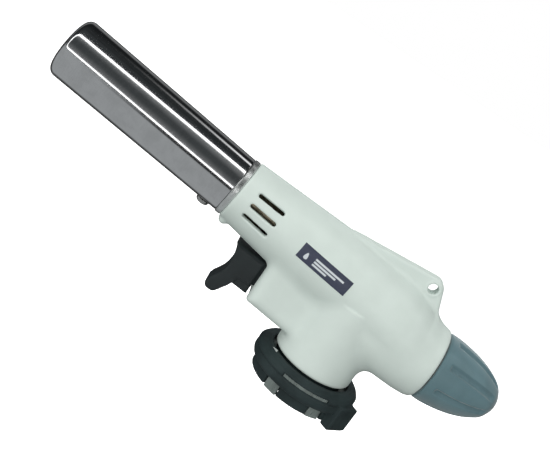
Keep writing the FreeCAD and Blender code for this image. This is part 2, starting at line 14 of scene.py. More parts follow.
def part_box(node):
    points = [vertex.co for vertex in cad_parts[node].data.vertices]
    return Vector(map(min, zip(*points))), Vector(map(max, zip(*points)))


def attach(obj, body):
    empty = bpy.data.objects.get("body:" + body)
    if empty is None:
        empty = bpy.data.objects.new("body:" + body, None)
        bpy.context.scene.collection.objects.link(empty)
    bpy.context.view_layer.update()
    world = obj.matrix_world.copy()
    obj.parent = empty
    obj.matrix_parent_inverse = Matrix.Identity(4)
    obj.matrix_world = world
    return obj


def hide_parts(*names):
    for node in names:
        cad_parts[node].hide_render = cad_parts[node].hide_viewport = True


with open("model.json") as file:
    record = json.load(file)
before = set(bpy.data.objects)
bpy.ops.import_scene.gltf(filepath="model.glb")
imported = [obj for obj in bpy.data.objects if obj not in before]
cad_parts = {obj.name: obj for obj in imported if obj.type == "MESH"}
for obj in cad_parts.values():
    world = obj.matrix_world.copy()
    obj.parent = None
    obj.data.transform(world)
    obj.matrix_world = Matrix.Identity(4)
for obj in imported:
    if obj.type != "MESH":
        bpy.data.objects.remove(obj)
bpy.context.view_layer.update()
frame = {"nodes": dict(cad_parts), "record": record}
JOINTS = {joint["name"]: joint for joint in frame["record"]["behaviour"]["joints"]}
MM = 0.001

# %% [markdown]
# The torch has two slanting lines that everything follows: the barrel, which rises a few
# degrees to the muzzle, and the level line of the knob. Both can be read off the model: the
# trigger slides along the barrel, the mixing tube lies on its axis, and the knob's joint
# gives the other line. Lengths below are in millimetres, as on a workshop drawing.

# %% The barrel's frame
slide = JOINTS["trigger_pull"]["axis"]
TILT = math.atan2(-slide[2], slide[0])
COS, SIN = math.cos(TILT), math.sin(TILT)
low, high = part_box("mixing_tube")
middle = (low + high) / 2 / MM
BARREL_Z = middle.z + middle.x * math.tan(TILT)
KNOB_Z = JOINTS["knob_turn"]["pos_m"][2] / MM


def to_barrel(x, z):
    """u runs along the barrel and v across it: the x, z plane turned by the barrel's tilt."""
    return x * COS - (z - BARREL_Z) * SIN, x * SIN + (z - BARREL_Z) * COS


def from_barrel(u, y, v):
    """The inverse turn, back to x, y, z."""
    return u * COS + v * SIN, y, BARREL_Z - u * SIN + v * COS


print("tilt %.2f degrees, barrel height %.1f mm, knob height %.1f mm" % (math.degrees(TILT), BARREL_Z, KNOB_Z))

# %% [markdown]
# The camera stands a little above the torch and is rolled, so that the barrel runs from the
# upper left to the lower right. A camera's three columns are its right, its up and its back
# direction, and rolling mixes the first two.

# %% Camera
AZIMUTH, ELEVATION, ROLL = (math.radians(a) for a in (-3.271, 15.767, 34.361))
DISTANCE = 0.32688
TARGET = Vector((-0.03561, 0.0, 0.04352))
FOCAL_SHARE = 1.8537

back = Vector((math.sin(AZIMUTH) * math.cos(ELEVATION),
               -math.cos(AZIMUTH) * math.cos(ELEVATION), math.sin(ELEVATION)))
right = Vector((math.cos(AZIMUTH), math.sin(AZIMUTH), 0.0))
above = back.cross(right)
across = right * math.cos(ROLL) + above * math.sin(ROLL)
upward = above * math.cos(ROLL) - right * math.sin(ROLL)
camera_data = bpy.data.cameras.new("camera")
camera_data.sensor_width = 36.0
camera_data.lens = camera_data.sensor_width * FOCAL_SHARE
camera_data.clip_start = 0.01
camera = bpy.data.objects.new("camera", camera_data)
bpy.context.scene.collection.objects.link(camera)
turn = Matrix((across, upward, back)).transposed().to_4x4()
camera.matrix_world = Matrix.Translation(TARGET + back * DISTANCE) @ turn
bpy.context.scene.camera = camera
print("camera lens %.1f mm" % camera_data.lens)

# %% [markdown]
# The room: a pale floor well below the torch, and a white surround. Polished steel shows
# whatever surrounds it, so what the steel reflects is drawn as a studio would set it up: a
# dark tent above, a grey table below, and a dark board with a thin bright edge in front. The
# edge becomes the two white streaks along the tube, joined at the muzzle. The world does
# this by direction: one angle round the barrel's line, one angle along it.

# %% Surroundings
scene = bpy.context.scene
scene.view_settings.view_transform = "Standard"
world = bpy.data.worlds.new("studio")
scene.world = world
world.use_nodes = True


class Nodes:
    """A short way to add nodes and join them."""

    def __init__(self, tree):
        self.tree = tree
        self.tree.nodes.clear()

    def add(self, kind, **settings):
        node = self.tree.nodes.new(kind)
        for key, value in settings.items():
            setattr(node, key, value)
        return node

    def link(self, source, target):
        self.tree.links.new(source, target)
        return target

    def put(self, value, socket):
        """Join a socket, or set a plain value."""
        if isinstance(value, bpy.types.NodeSocket):
            self.tree.links.new(value, socket)
        else:
            socket.default_value = value

    def math(self, operation, a, b=0.0):
        node = self.add("ShaderNodeMath", operation=operation)
        self.put(a, node.inputs[0])
        self.put(b, node.inputs[1])
        return node.outputs[0]

    def mix(self, share, a, b):
        node = self.add("ShaderNodeMix", data_type="RGBA")
        self.put(share, node.inputs[0])
        self.put(a, node.inputs[6])
        self.put(b, node.inputs[7])
        return node.outputs[2]

    def spread(self, value, low_in, high_in, low_out=0.0, high_out=1.0, kind="SMOOTHSTEP"):
        """Map a range of one value to another, smoothly."""
        node = self.add("ShaderNodeMapRange", interpolation_type=kind)
        for number, socket in zip((low_in, high_in, low_out, high_out), node.inputs[1:5]):
            socket.default_value = number
        self.put(value, node.inputs[0])
        return node.outputs[0]


def grey(level, cool=0.0):
    return (level * (1 - cool), level, level * (1 + 0.5 * cool), 1.0)


def studio_world(nodes):
    """Brightness by direction for reflections, white for the camera, soft white for the rest."""
    direction = nodes.add("ShaderNodeTexCoord").outputs["Generated"]
    turn_back = nodes.add("ShaderNodeMapping")
    nodes.link(direction, turn_back.inputs[0])
    turn_back.inputs["Rotation"].default_value = (0.0, -TILT, 0.0)
    axes = nodes.add("ShaderNodeSeparateXYZ")
    nodes.link(turn_back.outputs[0], axes.inputs[0])
    x, y, z = axes.outputs
    swing = nodes.math("DEGREES", nodes.math("ARCTAN2", z, nodes.math("MULTIPLY", y, -1.0)))
    reach = nodes.math("DEGREES", nodes.math("ARCSINE", x))

    def band(angle, start, end, soft_start, soft_end=None):
        rise = nodes.spread(angle, start - soft_start, start + soft_start)
        soft_end = soft_start if soft_end is None else soft_end
        fall = nodes.spread(angle, end - soft_end, end + soft_end, 1.0, 0.0)
        return nodes.math("MULTIPLY", rise, fall)

    def lay(colour, share, tone):
        return nodes.mix(share, colour, tone)

    # how far along the barrel: nought at the muzzle's end of the view, one at the base
    toward_base = nodes.spread(reach, -9.0, 2.0, 0.0, 1.0, "LINEAR")
    # the tent above, with faint darker seams
    colour = nodes.mix(nodes.spread(swing, 80.0, 132.0), grey(0.042, 0.12), grey(0.014, 0.12))
    colour = lay(colour, band(swing, 94.0, 100.0, 3.0), grey(0.022, 0.12))
    colour = lay(colour, nodes.math("MULTIPLY", band(swing, 114.0, 123.0, 2.5),
                                    nodes.math("POWER", toward_base, 3.0)), grey(1.4))
    colour = lay(colour, band(swing, 146.0, 170.0, 6.0), grey(0.22, 0.02))
    # the table, with a dark far edge and a thin dark line before the board's light edge
    table = band(swing, -128.0, -2.5, 8.0, 1.2)
    colour = lay(colour, nodes.math("MAXIMUM", table, band(swing, -179.0, -128.0, 4.0)),
                 nodes.mix(nodes.spread(swing, -132.0, -112.0), grey(0.06, 0.03), grey(0.41, 0.04)))
    line = nodes.math("MULTIPLY", band(swing, -12.0, -1.5, 2.0), nodes.spread(reach, -8.0, -2.0))
    colour = lay(colour, line, grey(0.02, 0.05))
    # the board in front: a lit edge all round its muzzle end, dark inside
    mid = nodes.spread(reach, -9.0, 2.0, 34.5, 38.75, "LINEAR")
    half = nodes.spread(reach, -9.0, 2.0, 32.8, 38.6, "LINEAR")
    side = nodes.math("DIVIDE", nodes.math("SUBTRACT", swing, mid), half)
    tip = nodes.math("MAXIMUM", nodes.math("DIVIDE", nodes.math("SUBTRACT", -24.0, reach), 40.0), 0.0)
    rim = nodes.math("ADD", nodes.math("POWER", nodes.math("ABSOLUTE", side), 4.0),
                     nodes.math("POWER", tip, 4.0))
    rim = nodes.math("POWER", rim, 0.25)
    board = nodes.mix(nodes.spread(swing, 5.0, 30.0), grey(0.19, 0.03), grey(0.060, 0.10))
    board = nodes.mix(nodes.spread(swing, 40.0, 62.0), board, grey(0.20, 0.03))
    thinner_below = nodes.spread(side, -0.4, 0.4, 0.10, 0.0)
    lit = nodes.mix(nodes.spread(nodes.math("SUBTRACT", rim, thinner_below), 0.72, 0.86), board, grey(3.0))
    colour = nodes.mix(nodes.spread(rim, 1.01, 1.05), lit, colour)
    # what lights the matt pieces: bright in front and above, falling off below
    lean = nodes.add("ShaderNodeVectorMath", operation="DOT_PRODUCT")
    nodes.link(direction, lean.inputs[0])
    lean.inputs[1].default_value = (-0.38, -0.76, 0.53)
    fill = nodes.mix(nodes.spread(lean.outputs["Value"], -0.12, 0.70),
                     FILL_LOW, FILL_HIGH)
    path = nodes.add("ShaderNodeLightPath")
    seen = nodes.mix(path.outputs["Is Glossy Ray"], fill, colour)
    seen = nodes.mix(path.outputs["Is Camera Ray"], seen, grey(1.0))
    glow = nodes.add("ShaderNodeBackground")
    nodes.link(seen, glow.inputs["Color"])
    output = nodes.add("ShaderNodeOutputWorld")
    nodes.link(glow.outputs[0], output.inputs[0])


FILL_LOW = (0.035, 0.050, 0.048, 1.0)
FILL_HIGH = (1.15, 1.16, 1.135, 1.0)
studio_world(Nodes(world.node_tree))


def soft_light(name, place, aim, size, power, tint=(1.0, 1.0, 1.0)):
    """A square lamp at a place, turned to look at a point. It isn't seen in reflections."""
    data = bpy.data.lights.new(name, "AREA")
    data.shape = "SQUARE"
    data.size = size
    data.energy = power
    data.color = tint
    lamp = bpy.data.objects.new(name, data)
    scene.collection.objects.link(lamp)
    line = Vector(aim) - Vector(place)
    lamp.matrix_world = Matrix.Translation(place) @ line.to_track_quat("-Z", "Y").to_matrix().to_4x4()
    return lamp


CENTRE = (-0.02, 0.0, 0.04)
LAMPS = {
    "rear_lamp": soft_light("rear_lamp", (0.15, 0.85, 0.42), CENTRE, 0.9, 7.0),
    "low_lamp": soft_light("low_lamp", (-0.25, -0.30, -0.24), CENTRE, 0.5, 0.05, (0.85, 1.0, 0.97)),
}
for lamp in LAMPS.values():
    lamp.visible_glossy = False
    lamp.visible_camera = False
print("lamps:", sorted(LAMPS))

# %% [markdown]
# The floor is one large plane, pale and matt. It hides from reflections, so that the tube
# shows the grey table of the studio instead.

# %% Floor
FLOOR_Z = -0.30
FLOOR_HALF = 6.0


def plain_material(name, colour, roughness):
    material = bpy.data.materials.new(name)
    material.use_nodes = True
    shader = material.node_tree.nodes["Principled BSDF"]
    shader.inputs["Base Color"].default_value = colour
    shader.inputs["Roughness"].default_value = roughness
    return material, shader


def make_mesh(name, points, faces, material):
    """A mesh object at the origin from points in metres and faces of three or four corners."""
    mesh = bpy.data.meshes.new(name)
    mesh.from_pydata(points.tolist(), [], faces.tolist())
    mesh.update()
    mesh.polygons.foreach_set("use_smooth", np.ones(len(mesh.polygons), dtype=bool))
    mesh.materials.append(material)
    piece = bpy.data.objects.new(name, mesh)
    scene.collection.objects.link(piece)
    return piece


floor_finish, floor_shader = plain_material("pale_floor", grey(0.9), 0.9)
floor_shader.inputs["Emission Color"].default_value = grey(1.0)
floor_shader.inputs["Emission Strength"].default_value = 0.9
corner = FLOOR_HALF
floor_points = np.array([(-corner, -corner, FLOOR_Z), (corner, -corner, FLOOR_Z),
                         (corner, corner, FLOOR_Z), (-corner, corner, FLOOR_Z)])
floor = make_mesh("floor", floor_points, np.array([(0, 1, 2, 3)]), floor_finish)
floor.visible_glossy = False
floor.visible_diffuse = False
floor.visible_shadow = False
print("floor at z =", FLOOR_Z)

# %% [markdown]
# Finishes. Each one is a small node tree on Object coordinates, so the pattern is fixed to
# the piece. Moulded plastic gets a faint cloudiness, a fine spark-eroded grain and a little
# change of gloss, and the knob a faint sheen; steel gets fine scratches in the direction of
# polishing; brass gets a darker tarnish. One helper makes the layers that they all share.

# %% Finishes
def finish_nodes(name, turned=False):
    """A new material with its shader, and Object coordinates in millimetres."""
    material = bpy.data.materials.new(name)
    material.use_nodes = True
    nodes = Nodes(material.node_tree)
    shader = nodes.add("ShaderNodeBsdfPrincipled")
    output = nodes.add("ShaderNodeOutputMaterial")
    nodes.link(shader.outputs[0], output.inputs[0])
    place = nodes.add("ShaderNodeMapping")
    nodes.link(nodes.add("ShaderNodeTexCoord").outputs["Object"], place.inputs[0])
    place.inputs["Scale"].default_value = (1 / MM, 1 / MM, 1 / MM)
    if turned:
        place.inputs["Rotation"].default_value = (0.0, -TILT, 0.0)
    return material, nodes, shader, place.outputs[0]


def stretch(nodes, vector, scale):
    node = nodes.add("ShaderNodeMapping")
    nodes.link(vector, node.inputs[0])
    node.inputs["Scale"].default_value = scale
    return node.outputs[0]


def noise(nodes, vector, scale, detail=2.0):
    node = nodes.add("ShaderNodeTexNoise")
    nodes.link(vector, node.inputs["Vector"])
    node.inputs["Scale"].default_value = scale
    node.inputs["Detail"].default_value = detail
    return node.outputs["Fac"]


def bump(nodes, shader, height, strength, depth):
    node = nodes.add("ShaderNodeBump")
    nodes.link(height, node.inputs["Height"])
    node.inputs["Strength"].default_value = strength
    node.inputs["Distance"].default_value = depth * MM
    nodes.link(node.outputs[0], shader.inputs["Normal"])


def moulded(name, colour, cloud, roughness, grain, gloss=0.5, sheen=0.0):
    """Plastic: cloud varies the colour, grain is the depth of the fine texture in mm."""
    material, nodes, shader, place = finish_nodes(name)
    soft = noise(nodes, place, 0.12, 3.0)
    tone = nodes.spread(soft, 0.35, 0.65)
    darker = tuple(c * (1 - cloud) for c in colour) + (1.0,)
    nodes.link(nodes.mix(tone, darker, colour + (1.0,)), shader.inputs["Base Color"])
    fine = noise(nodes, place, 3.2, 2.0)
    patchy = noise(nodes, place, 0.5, 2.0)
    wear = nodes.math("ADD", nodes.math("MULTIPLY", patchy, 0.6), nodes.math("MULTIPLY", fine, 0.4))
    rough = nodes.spread(wear, 0.3, 0.7, roughness - 0.05, roughness + 0.07, "LINEAR")
    nodes.link(rough, shader.inputs["Roughness"])
    shader.inputs["Specular IOR Level"].default_value = gloss
    if sheen > 0:
        shader.inputs["Sheen Weight"].default_value = sheen
        shader.inputs["Sheen Roughness"].default_value = 0.45
    bump(nodes, shader, fine, 0.5, grain)
    return material


def metal(name, colour, tarnish, roughness, scratch, lines=(0.25, 9.0, 9.0), turned=True):
    """Metal: lines says how the scratches stretch, tarnish is the darker tone's share."""
    material, nodes, shader, place = finish_nodes(name, turned)
    shader.inputs["Metallic"].default_value = 1.0
    fine = noise(nodes, stretch(nodes, place, lines), 1.0, 4.0)
    cloud = noise(nodes, place, 0.22, 3.0)
    tone = nodes.math("ADD", nodes.math("MULTIPLY", cloud, 0.7), nodes.math("MULTIPLY", fine, 0.3))
    darker = tuple(c * (1 - tarnish) for c in colour) + (1.0,)
    nodes.link(nodes.mix(nodes.spread(tone, 0.35, 0.62), darker, colour + (1.0,)),
               shader.inputs["Base Color"])
    rough = nodes.spread(fine, 0.3, 0.7, roughness * 0.75, roughness * 1.35, "LINEAR")
    nodes.link(rough, shader.inputs["Roughness"])
    bump(nodes, shader, fine, 0.4, scratch)
    return material


CASE_WHITE = moulded("case_white", (0.705, 0.790, 0.752), 0.035, 0.40, 0.012)
BLACK = moulded("collar_black", (0.030, 0.044, 0.046), 0.30, 0.45, 0.020, 0.12)
TRIGGER_BLACK = moulded("trigger_black", (0.012, 0.019, 0.021), 0.25, 0.46, 0.020)
KNOB_GREY = moulded("knob_slate", (0.112, 0.205, 0.236), 0.12, 0.40, 0.015, sheen=0.55)
IGNITER_BLACK = moulded("igniter_black", (0.03, 0.03, 0.034), 0.2, 0.5, 0.02)
RUBBER = moulded("seal_rubber", (0.016, 0.016, 0.017), 0.3, 0.7, 0.03, 0.3)
SILICONE = moulded("lead_silicone", (0.30, 0.035, 0.025), 0.15, 0.5, 0.02)
CERAMIC = moulded("spark_ceramic", (0.72, 0.69, 0.62), 0.08, 0.25, 0.01)
PAINT = moulded("mark_paint", (0.62, 0.66, 0.65), 0.15, 0.5, 0.01)
TUBE_STEEL = metal("tube_steel", (0.66, 0.665, 0.67), 0.10, 0.10, 0.0025, (6.0, 0.35, 0.35))
RING_STEEL = metal("ring_steel", (0.74, 0.76, 0.75), 0.18, 0.34, 0.008, (1.0, 5.0, 5.0))
CLAW_STEEL = metal("claw_steel", (0.35, 0.40, 0.375), 0.30, 0.32, 0.012, (3.0, 3.0, 0.4), False)
SCREW_STEEL = metal("screw_steel", (0.48, 0.48, 0.47), 0.30, 0.28, 0.006, (2.0, 2.0, 2.0), False)
SPRING_STEEL = metal("spring_steel", (0.55, 0.55, 0.56), 0.2, 0.25, 0.003, (2.0, 2.0, 2.0), False)
BURNT_STEEL = metal("burnt_steel", (0.36, 0.31, 0.27), 0.55, 0.38, 0.02, (1.5, 1.5, 1.5))
BRASS = metal("turned_brass", (0.62, 0.47, 0.22), 0.35, 0.27, 0.006, (4.0, 0.5, 0.5))
MIX_BRASS = metal("mixing_brass", (0.42, 0.37, 0.27), 0.60, 0.36, 0.03, (1.2, 1.2, 1.2))
SINTER = metal("sintered_bronze", (0.42, 0.30, 0.16), 0.5, 0.5, 0.05, (4.0, 4.0, 4.0), False)
print("finishes:", len(bpy.data.materials))

# %% [markdown]
# Every piece of the working model that stays in view gets its finish here. The pieces that
# are made anew further down stand for their nodes and hide them.

# %% Dress the working model's pieces
NODE_FINISH = {
    "case_screws": SCREW_STEEL, "tube_base_ring": RING_STEEL, "tube_screw": SCREW_STEEL,
    "burner_head": BURNT_STEEL, "flame_holder": BURNT_STEEL, "mixing_tube": MIX_BRASS,
    "jet_carrier": BRASS, "gas_jet": BRASS, "electrode": BURNT_STEEL, "electrode_ceramic": CERAMIC,
    "valve_body": BRASS, "inlet_filter": SINTER, "can_gasket": RUBBER, "cartridge_seat": BLACK,
    "gland_nut": BRASS, "valve_spindle": BRASS, "spindle_oring": RUBBER, "claw_plate": CLAW_STEEL,
    "lock_mark": PAINT, "piezo_plunger": IGNITER_BLACK, "piezo_body": IGNITER_BLACK,
    "piezo_spring": SPRING_STEEL, "ignition_lead": SILICONE,
}
for node_name, finish in NODE_FINISH.items():
    for place in frame["nodes"][node_name].material_slots:
        place.material = finish
print("dressed", len(NODE_FINISH), "pieces")

# %% [markdown]
# The case is where the torch gets its character: barrel, neck, igniter housing and hanging
# fin flow into one another with moulded fillets. It could be sculpted by hand or filleted
# face by face. Here it is one formula instead: a field that gives, at any point, the
# distance to the surface, negative inside. Fields join with a smooth minimum, which makes
# the fillet, and cut with a smooth maximum, which rounds the edge. A net of small four-sided
# faces is then drawn where the field is nought, all with whole arrays.

# %% Joining and cutting fields
def join(a, b, fillet):
    """Smooth minimum: a parabola of width fillet replaces the corner between two fields."""
    share = np.clip(0.5 + 0.5 * (b - a) / fillet, 0.0, 1.0)
    return b + (a - b) * share - fillet * share * (1 - share)


def trim(a, b, edge):
    """Smooth maximum: what is inside both fields, with its edge rounded."""
    return -join(-a, -b, edge)


def table(s, stations, values):
    """A smooth curve through stations: each span is a cubic whose end slopes are the averages."""
    xs, ys = np.asarray(stations, float), np.asarray(values, float)
    slopes = np.gradient(ys, xs)
    i = np.clip(np.searchsorted(xs, s) - 1, 0, len(xs) - 2)
    span = xs[i + 1] - xs[i]
    t = np.clip((s - xs[i]) / span, 0.0, 1.0)
    return ((1 + 2 * t) * (1 - t) ** 2 * ys[i] + t * (1 - t) ** 2 * span * slopes[i]
            + t * t * (3 - 2 * t) * ys[i + 1] + t * t * (t - 1) * span * slopes[i + 1])


def outline_field(a, b, corners):
    """Signed distance to a closed outline: the nearest edge, with its sign by crossing count."""
    points = np.asarray(corners, float)
    nearest = np.full(a.shape, 1e9)
    inside = np.zeros(a.shape, dtype=bool)
    for (a0, b0), (a1, b1) in zip(points, np.roll(points, -1, axis=0)):
        da, db = a1 - a0, b1 - b0
        t = np.clip(((a - a0) * da + (b - b0) * db) / (da * da + db * db), 0.0, 1.0)
        nearest = np.minimum(nearest, np.hypot(a - a0 - t * da, b - b0 - t * db))
        if db:
            crosses = ((b0 > b) != (b1 > b)) & (a < a0 + (b - b0) * da / db)
            inside ^= crosses
    return np.where(inside, -nearest, nearest)


def slab(profile, depth, half, edge):
    """A flat outline given a thickness of twice half, its edges rounded by edge."""
    side = np.abs(depth) - half
    return trim(profile, side, edge)


def box_field(x, y, z, low_corner, high_corner, edge):
    """A box between two corners, its edges rounded by edge."""
    centre = [(p + q) / 2 for p, q in zip(low_corner, high_corner)]
    half = [(q - p) / 2 - edge for p, q in zip(low_corner, high_corner)]
    away = [np.abs(c - m) - h for c, m, h in zip((x, y, z), centre, half)]
    outside = np.sqrt(sum(np.maximum(d, 0.0) ** 2 for d in away))
    return outside + np.minimum(np.maximum.reduce(away), 0.0) - edge


print("fields join, trim and round")

# %% [markdown]
# The net: the field is worked out on a grid of points. Every small cell that the surface
# passes through gets one vertex, at the mean of the places where the surface crosses the
# cell's edges, and is then moved along the field's slope until it lies on the surface.
# Every grid edge that the surface crosses gets one four-sided face, between the four cells
# round it. The mesh is closed, and its faces point outwards by the sign along that edge.

# %% A net of faces where a field is nought
CUBE = np.array([(i, j, k) for i in (0, 1) for j in (0, 1) for k in (0, 1)])
EDGES = [(a, b) for a in range(8) for b in range(a + 1, 8) if np.abs(CUBE[a] - CUBE[b]).sum() == 1]


def slope(field, p, step=0.02):
    """The field's gradient by central differences."""
    parts = []
    for axis in range(3):
        shift = np.zeros(3)
        shift[axis] = step
        parts.append((field(*(p + shift).T) - field(*(p - shift).T)) / (2 * step))
    return np.stack(parts, axis=1)


def net(field, low_corner, high_corner, step):
    """Points and four-sided faces of the surface where field(x, y, z) is nought, in mm."""
    low_corner = np.asarray(low_corner, float)
    counts = np.ceil((np.asarray(high_corner) - low_corner) / step).astype(int) + 1
    lines = [low_corner[i] + step * np.arange(counts[i]) for i in range(3)]
    values = field(*np.meshgrid(*lines, indexing="ij"))
    inside = values < 0
    cells = tuple(c - 1 for c in counts)

    def corner_of(array, c):
        return array[c[0]:c[0] + cells[0], c[1]:c[1] + cells[1], c[2]:c[2] + cells[2]]

    total = np.zeros(cells, int)
    for c in CUBE:
        total += corner_of(inside, c)
    active = (total > 0) & (total < 8)
    index = np.full(cells, -1)
    index[active] = np.arange(active.sum())
    base = np.argwhere(active)
    corner_values = np.stack([corner_of(values, c)[active] for c in CUBE], axis=1)
    sums, hits = np.zeros((len(base), 3)), np.zeros(len(base))
    for a, b in EDGES:
        va, vb = corner_values[:, a], corner_values[:, b]
        crossed = (va < 0) != (vb < 0)
        t = np.where(crossed, va / np.where(crossed, va - vb, 1.0), 0.0)
        sums += np.where(crossed[:, None], CUBE[a] + t[:, None] * (CUBE[b] - CUBE[a]), 0.0)
        hits += crossed
    points = low_corner + step * (base + sums / hits[:, None])
    start = points.copy()
    for _ in range(3):
        gradient = slope(field, points)
        size = np.maximum((gradient ** 2).sum(axis=1), 0.05)
        points = points - gradient * (field(*points.T) / size)[:, None]
        points = start + np.clip(points - start, -0.6 * step, 0.6 * step)
    faces = []
    for axis in range(3):
        one, two = (axis + 1) % 3, (axis + 2) % 3
        near = [slice(1, -1)] * 3
        near[axis] = slice(0, -1)
        far = list(near)
        far[axis] = slice(1, None)
        a, b = inside[tuple(near)], inside[tuple(far)]
        place = np.argwhere(a != b)
        leaving = a[tuple(place.T)]
        place[:, one] += 1
        place[:, two] += 1
        corners = []
        for p, q in ((-1, -1), (0, -1), (0, 0), (-1, 0)):
            cell = place.copy()
            cell[:, one] += p
            cell[:, two] += q
            corners.append(index[tuple(cell.T)])
        quads = np.stack(corners, axis=1)
        faces.append(np.where(leaving[:, None], quads, quads[:, ::-1]))
    return points, np.concatenate(faces)


def net_piece(name, field, low_corner, high_corner, step, material):
    points, faces = net(field, low_corner, high_corner, step)
    piece = make_mesh(name, points * MM, faces, material)
    print("%s: %d faces" % (name, len(faces)))
    return piece


# %% [markdown]
# The case's own shapes. The round body is a circle carried along a line that follows the
# barrel and then bends down to the knob. The rear barrel, the neck and the igniter housing
# join it. The fillet at the neck fades out towards the sides, where neck and body already
# run level with one another.

# %% Case, outside
BODY_FRONT_U = -51.65
BODY_REAR_X = 31.6
NECK_R = 14.24
NECK_BOTTOM = 11.7
WALL = 1.8
STATION_X = [-52.0, -40.0, -26.0, -12.0, 2.0, 10.0, 17.0, 23.0, 27.5, BODY_REAR_X, 34.0]
STATION_R = [10.72, 11.6, 12.65, 13.6, 14.05, 14.1, 13.85, 13.3, 12.7, 11.9, 11.3]
BEND_Z = [40.35, 39.2, 36.9, 34.6, 33.3, KNOB_Z, KNOB_Z]
STATION_Z = [BARREL_Z - x * math.tan(TILT) for x in STATION_X[:4]] + BEND_Z
REAR_X = [-6.0, 20.0, 26.0, 30.0, BODY_REAR_X, 34.0]
REAR_R = [13.0, 13.0, 12.85, 12.35, 11.85, 11.2]


def side_fade(y, reach=14.2):
    """One on the centre plane, nought at the sides."""
    return 1 - np.clip(np.abs(y) / reach, 0.0, 1.0) ** 2


def round_body(x, y, z):
    """Distance to a circle of changing radius carried along the bent centre line."""
    line = table(x, STATION_X, STATION_Z)
    pitch = (table(x + 0.5, STATION_X, STATION_Z) - table(x - 0.5, STATION_X, STATION_Z))
    lean = 1 / np.sqrt(1 + pitch ** 2)
    foot = x + (z - line) * pitch * lean ** 2
    return np.hypot(y, (z - line) * lean) - table(foot, STATION_X, STATION_R)


def torso(x, y, z):
    """Body, rear barrel, neck and housing, joined."""
    fade = side_fade(y)
    rear = np.maximum(np.hypot(y, z - KNOB_Z) - table(x, REAR_X, REAR_R), -4.0 - x)
    body = join(round_body(x, y, z), rear, 0.3 + 3.0 * fade)
    neck = np.maximum(np.hypot(x, y) - NECK_R, z - 38.0)
    body = join(body, neck, 0.3 + 4.6 * fade)
    floor_z = 15.3 - x * math.tan(TILT)
    low_side = trim(floor_z - z, -30.6 - x, 1.2)
    half_width = 9.2
    housing = trim(trim(low_side, np.abs(y) - half_width, 4.4), np.maximum(x + 8.0, z - 40.0), 1.0)
    return join(body, housing, 1.8)


def ends(x, z):
    """The case's three flat ends: at the tube's ring, at the knob and under the neck."""
    u, _ = to_barrel(x, z)
    front = np.maximum(BODY_FRONT_U - u, x - BODY_REAR_X)
    return np.maximum(front, NECK_BOTTOM - z)


FIN_OUTLINE = [(-14.0, 48.0), (-13.0, 56.0), (-9.5, 56.8), (16.6, 58.95), (18.1, 58.85), (19.3, 58.3),
               (20.5, 57.1), (24.2, 48.2), (24.2, 42.0)]
HOLE_X, HOLE_Z, HOLE_R = 17.5, 55.3, 1.75


def case_outside(x, y, z):
    """Torso with the fin, the hole's rim and the small lip under the front edge."""
    fin = slab(outline_field(x, z, FIN_OUTLINE), y, 2.5, 1.1)
    body = join(torso(x, y, z), fin, 1.6)
    u, v = to_barrel(x, z)
    lip = np.hypot(u + 49.6, v + 10.15) - 1.75
    lip = trim(lip, np.abs(y) - 5.0, 2.4)
    body = join(body, lip, 0.9)
    body = trim(body, ends(x, z), 0.9)
    rim = slab(np.hypot(x - HOLE_X, z - HOLE_Z) - 2.6, y, 2.75, 0.4)
    return join(body, rim, 0.3)


print("case stations:", len(STATION_X))

# %% [markdown]
# Inside, the case is hollow with a wall of 1.8 mm. Openings let in the tube, the spindle,
# the collar and the trigger, and three air slots on each side feed the burner. The screws
# stand in posts. Each half stops just short of the centre plane with a rounded edge, and
# the two edges make the fine parting line.

# %% Case, inside and openings
SLOT_LOW, SLOT_HIGH, SLOT_WIDTH = -46.4, -36.3, 1.5
SLOT_ANGLES = [math.radians(a) for a in (28.3, 6.4, -15.4)]
SCREWS = ((-12.0, 52.0), (14.0, 44.5), (19.5, 23.9), (-9.5, 17.8))
SCREW_CLEAR_R, SCREW_RECESS_R = 1.22, 2.0
SCREW_TIP_Y, SCREW_RECESS_Y = -6.5, 5.0


def hollow(x, y, z):
    """The space inside the case."""
    u, v = to_barrel(x, z)
    space = np.maximum(torso(x, y, z) + WALL, x - BODY_REAR_X + 2.2)
    posts = np.minimum.reduce([np.hypot(x - a, z - b) - 2.2 for a, b in SCREWS])
    rib = np.maximum(np.abs(z - 15.8) - 0.8, 5.6 - np.hypot(x, y))
    rib = np.maximum(rib, np.abs(x) - 14.0)
    space = np.maximum(space, -np.minimum(posts, rib))
    front = np.maximum(np.hypot(y, v) - 8.93, u + 48.0)
    rear = np.maximum(np.hypot(y, z - KNOB_Z) - 6.6, 28.0 - x)
    under = np.maximum(np.hypot(x, y) - (NECK_R - WALL), z - 14.9)
    return np.minimum.reduce([space, front, rear, under])


def slots(x, y, z):
    """Three stadium-shaped slots on each side: distance along the barrel and round it."""
    u, v = to_barrel(x, z)
    along = np.maximum(np.abs(u - (SLOT_LOW + SLOT_HIGH) / 2) - (SLOT_HIGH - SLOT_LOW - SLOT_WIDTH) / 2, 0)
    cuts = []
    for angle in SLOT_ANGLES:
        out = np.abs(y) * math.cos(angle) + v * math.sin(angle)
        off = v * math.cos(angle) - np.abs(y) * math.sin(angle)
        cuts.append(np.maximum(np.hypot(along, off) - SLOT_WIDTH / 2, 7.9 - out))
    return np.minimum.reduce(cuts)


def screw_holes(x, y, z):
    """A clear hole and a head recess for each screw, from the +Y side."""
    cuts = []
    for a, b in SCREWS:
        away = np.hypot(x - a, z - b)
        clear_hole = np.maximum(away - SCREW_CLEAR_R, SCREW_TIP_Y - y)
        recess = np.maximum(away - SCREW_RECESS_R, SCREW_RECESS_Y - y)
        cuts.append(np.minimum(clear_hole, recess))
    return np.minimum.reduce(cuts)


